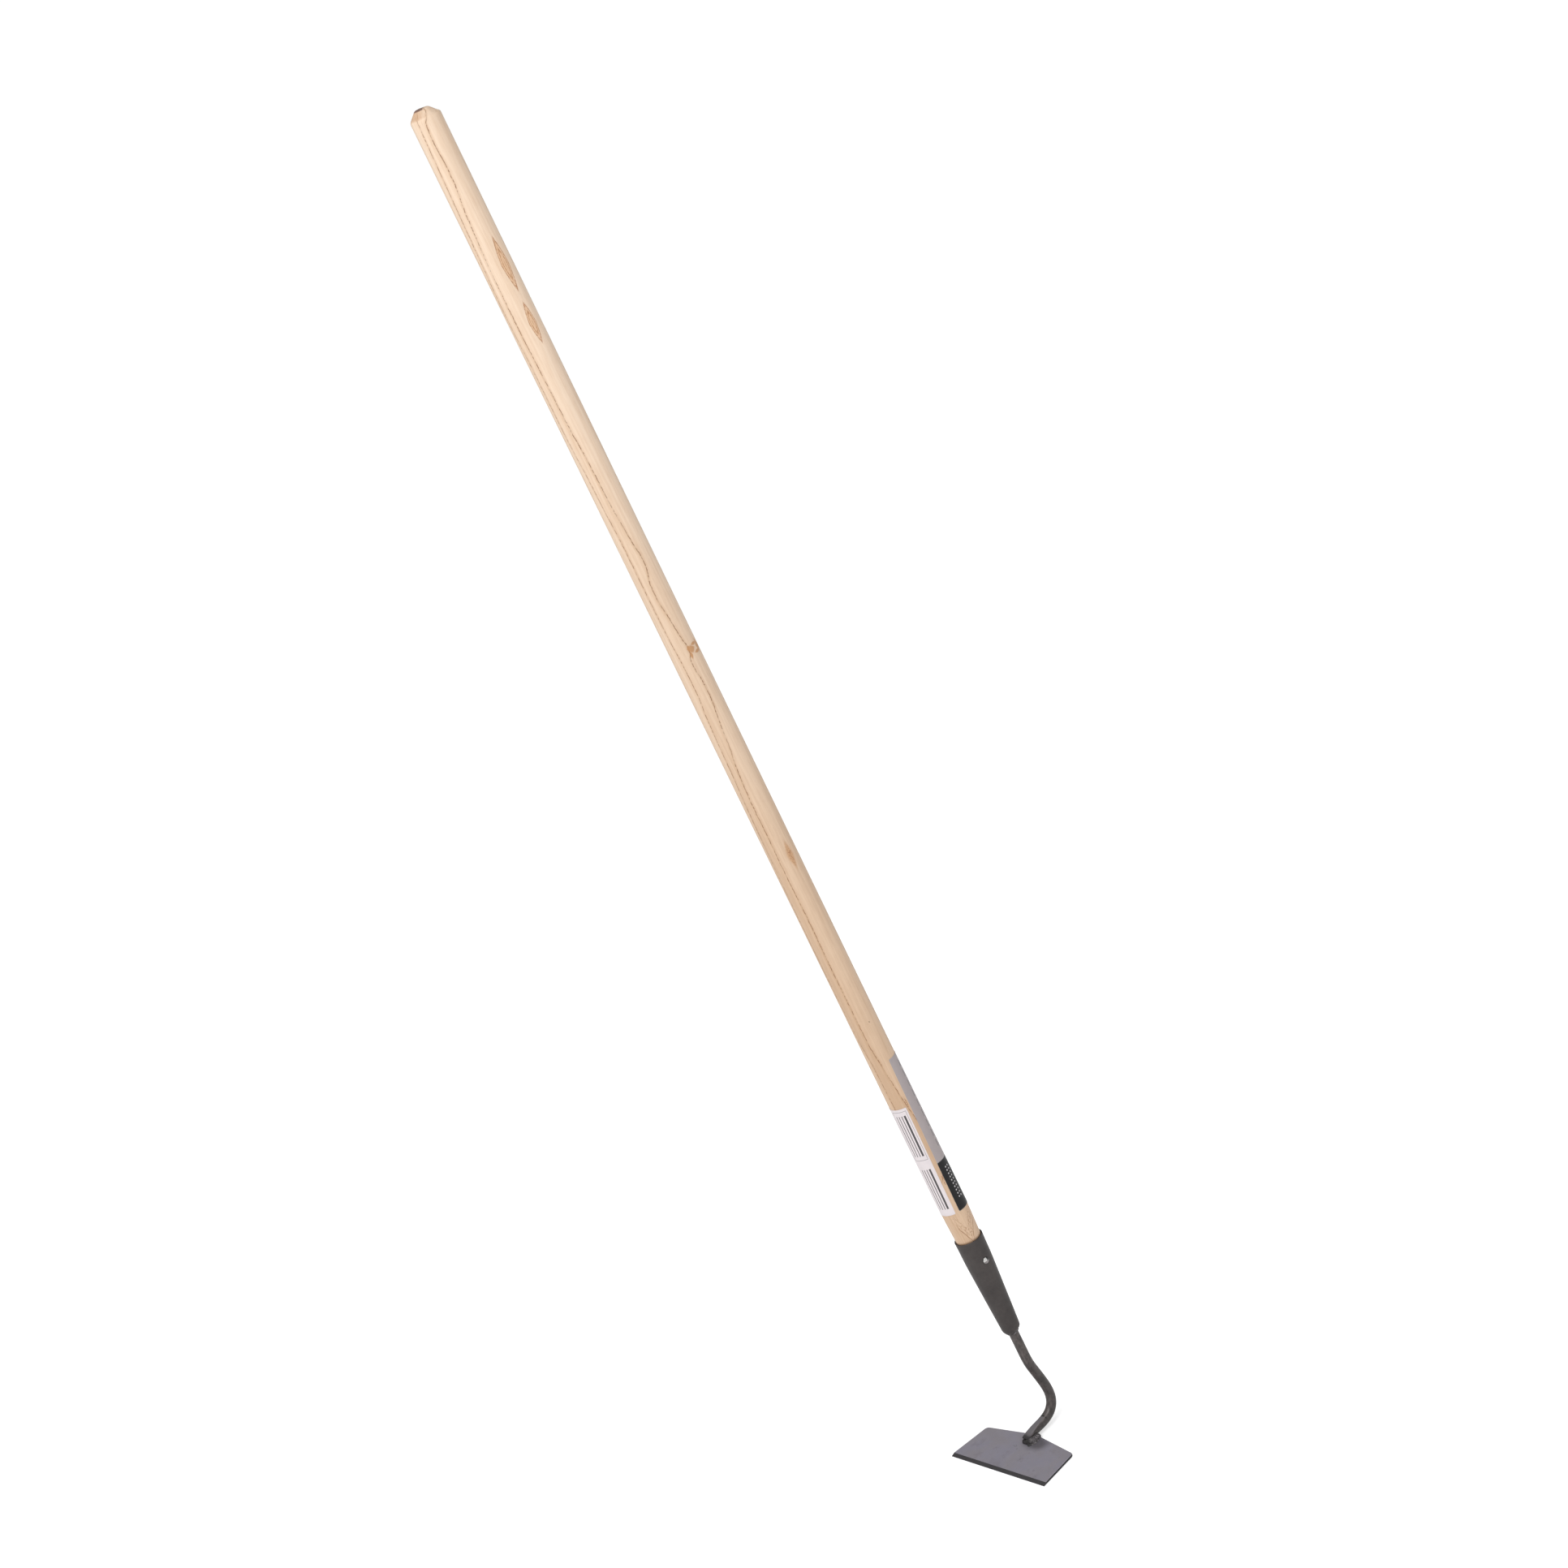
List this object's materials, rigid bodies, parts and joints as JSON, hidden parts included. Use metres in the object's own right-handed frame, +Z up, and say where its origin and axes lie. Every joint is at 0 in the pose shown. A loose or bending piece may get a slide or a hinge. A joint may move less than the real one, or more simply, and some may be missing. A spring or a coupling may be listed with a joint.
{
  "type": "grub hoe",
  "caption": "Long-handled grub hoe: straight ash handle riveted in a tapered steel socket, bent gooseneck rod and a flat five-cornered bevelled blade set square to the handle.",
  "frame": {"origin": "on the flat underside of the blade, in the tool's symmetry plane, midway between the blade's back corner and its cutting edge; the handle axis is the vertical line X = -0.060, Y = 0", "axes": "+Z up along the handle towards the grip end, +X from the handle towards the cutting edge, +Y along the cutting edge"},
  "size_m": [0.1051, 0.154, 1.4854],
  "materials": {
    "ash_wood": "smooth turned ash, pale cream to tan, clear satin finish",
    "dark_steel": "dark grey thin lacquer over forged steel, satin",
    "blade_steel": "grey lacquered rolled plate, satin, slightly mottled",
    "weld_metal": "rough rippled weld under dark lacquer",
    "bright_rivet": "bright plated steel",
    "label_white_film": "white printed film, soft gloss",
    "label_grey_film": "mid grey printed film, soft gloss",
    "label_black_film": "black printed film, soft gloss"
  },
  "bodies": {
    "root": {"handle": "ash_wood", "socket": "dark_steel", "socket_rivet": "bright_rivet", "gooseneck_rod": "dark_steel", "socket_weld": "weld_metal", "blade_weld": "weld_metal", "blade": "blade_steel", "label_white": "label_white_film", "label_grey": "label_grey_film", "label_black_band": "label_black_film"}
  },
  "joints": []
}
